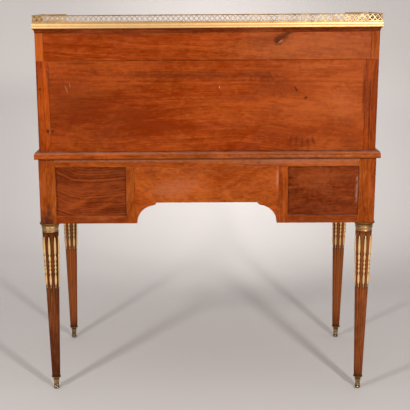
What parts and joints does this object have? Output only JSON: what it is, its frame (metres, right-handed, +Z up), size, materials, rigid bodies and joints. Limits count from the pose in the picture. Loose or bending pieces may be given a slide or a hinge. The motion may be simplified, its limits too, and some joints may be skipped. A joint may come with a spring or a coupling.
{
  "type": "cylinder desk",
  "caption": "Writing desk with a quarter-round fall that turns back over a fitted interior, a pull-out slide, drawers, fluted legs and a galleried marble top.",
  "frame": {"origin": "on the floor under the middle of the desk", "axes": "+Z up; the user sits at -Y and the pictured back faces +Y; +X to the user's right"},
  "size_m": [1.033, 0.5573, 1.166],
  "materials": {
    "mahogany": "french polish",
    "panel_mahogany": "french polish, darker",
    "back_mahogany": "french polish, lighter back boards",
    "oak": "waxed",
    "gilt_brass": "gilt, burnished",
    "iron": "blackened",
    "white_marble": "polished, faint grey veins",
    "green_leather": "tooled border"
  },
  "bodies": {
    "carcass": {"leg_front_left": "mahogany", "leg_front_right": "mahogany", "leg_back_left": "mahogany", "leg_back_right": "mahogany", "leg_collars": "gilt_brass", "flute_inlays": "gilt_brass", "feet": "gilt_brass", "back_rails": "mahogany", "back_panels": "panel_mahogany", "back_centre_board": "back_mahogany", "lower_side_left": "mahogany", "lower_side_right": "mahogany", "kneehole_sides": "mahogany", "pedestal_bottoms": "oak", "front_rails": "mahogany", "front_apron": "mahogany", "drawer_runners": "oak", "bed_board": "oak", "waist_frame": "mahogany", "upper_side_left": "mahogany", "upper_side_right": "mahogany", "upper_back_stiles": "mahogany", "upper_back_panel": "back_mahogany", "ledge_board": "mahogany", "top_row_uprights": "mahogany", "top_row_back": "back_mahogany", "cornice": "panel_mahogany", "marble_top": "white_marble", "top_band": "gilt_brass", "gallery": "gilt_brass", "pivot_pins": "gilt_brass", "pigeonholes": "mahogany"},
    "slide": {"writing_slide": "mahogany", "slide_leather": "green_leather", "slide_knobs": "gilt_brass"},
    "fall": {"cylinder_fall": "mahogany", "fall_arms": "iron", "fall_knobs": "gilt_brass", "fall_beading": "gilt_brass", "fall_lock": "gilt_brass"},
    "top_drawer_left_body": {"top_drawer_left": "mahogany", "top_drawer_left_fittings": "gilt_brass"},
    "top_drawer_centre_body": {"top_drawer_centre": "mahogany", "top_drawer_centre_fittings": "gilt_brass"},
    "top_drawer_right_body": {"top_drawer_right": "mahogany", "top_drawer_right_fittings": "gilt_brass"},
    "inner_drawer_left_body": {"inner_drawer_left": "mahogany", "inner_drawer_left_knob": "gilt_brass"},
    "inner_drawer_centre_body": {"inner_drawer_centre": "mahogany", "inner_drawer_centre_knob": "gilt_brass"},
    "inner_drawer_right_body": {"inner_drawer_right": "mahogany", "inner_drawer_right_knob": "gilt_brass"},
    "centre_drawer": {"centre_drawer": "mahogany", "centre_drawer_fittings": "gilt_brass"},
    "left_upper_drawer": {"left_upper_drawer": "mahogany", "left_upper_drawer_fittings": "gilt_brass"},
    "left_lower_drawer": {"left_lower_drawer": "mahogany", "left_lower_drawer_fittings": "gilt_brass"},
    "right_deep_drawer": {"right_deep_drawer": "mahogany", "right_deep_drawer_fittings": "gilt_brass"}
  },
  "joints": [
    {"name": "fall_hinge", "type": "hinge", "parent": "carcass", "child": "fall", "pos_m": [0, -0.007, 0.784], "axis": [-1, 0, 0], "range_deg": [0, 78]},
    {"name": "writing_slide_pull", "type": "slide", "parent": "carcass", "child": "slide", "axis": [0, -1, 0], "range_m": [0, 0.26]},
    {"name": "top_drawer_left_pull", "type": "slide", "parent": "carcass", "child": "top_drawer_left_body", "axis": [0, -1, 0], "range_m": [0, 0.13]},
    {"name": "top_drawer_centre_pull", "type": "slide", "parent": "carcass", "child": "top_drawer_centre_body", "axis": [0, -1, 0], "range_m": [0, 0.13]},
    {"name": "top_drawer_right_pull", "type": "slide", "parent": "carcass", "child": "top_drawer_right_body", "axis": [0, -1, 0], "range_m": [0, 0.13]},
    {"name": "inner_drawer_left_pull", "type": "slide", "parent": "carcass", "child": "inner_drawer_left_body", "axis": [0, -1, 0], "range_m": [0, 0.12]},
    {"name": "inner_drawer_centre_pull", "type": "slide", "parent": "carcass", "child": "inner_drawer_centre_body", "axis": [0, -1, 0], "range_m": [0, 0.12]},
    {"name": "inner_drawer_right_pull", "type": "slide", "parent": "carcass", "child": "inner_drawer_right_body", "axis": [0, -1, 0], "range_m": [0, 0.12]},
    {"name": "centre_drawer_pull", "type": "slide", "parent": "carcass", "child": "centre_drawer", "axis": [0, -1, 0], "range_m": [0, 0.33]},
    {"name": "left_upper_drawer_pull", "type": "slide", "parent": "carcass", "child": "left_upper_drawer", "axis": [0, -1, 0], "range_m": [0, 0.33]},
    {"name": "left_lower_drawer_pull", "type": "slide", "parent": "carcass", "child": "left_lower_drawer", "axis": [0, -1, 0], "range_m": [0, 0.33]},
    {"name": "right_deep_drawer_pull", "type": "slide", "parent": "carcass", "child": "right_deep_drawer", "axis": [0, -1, 0], "range_m": [0, 0.33]}
  ]
}
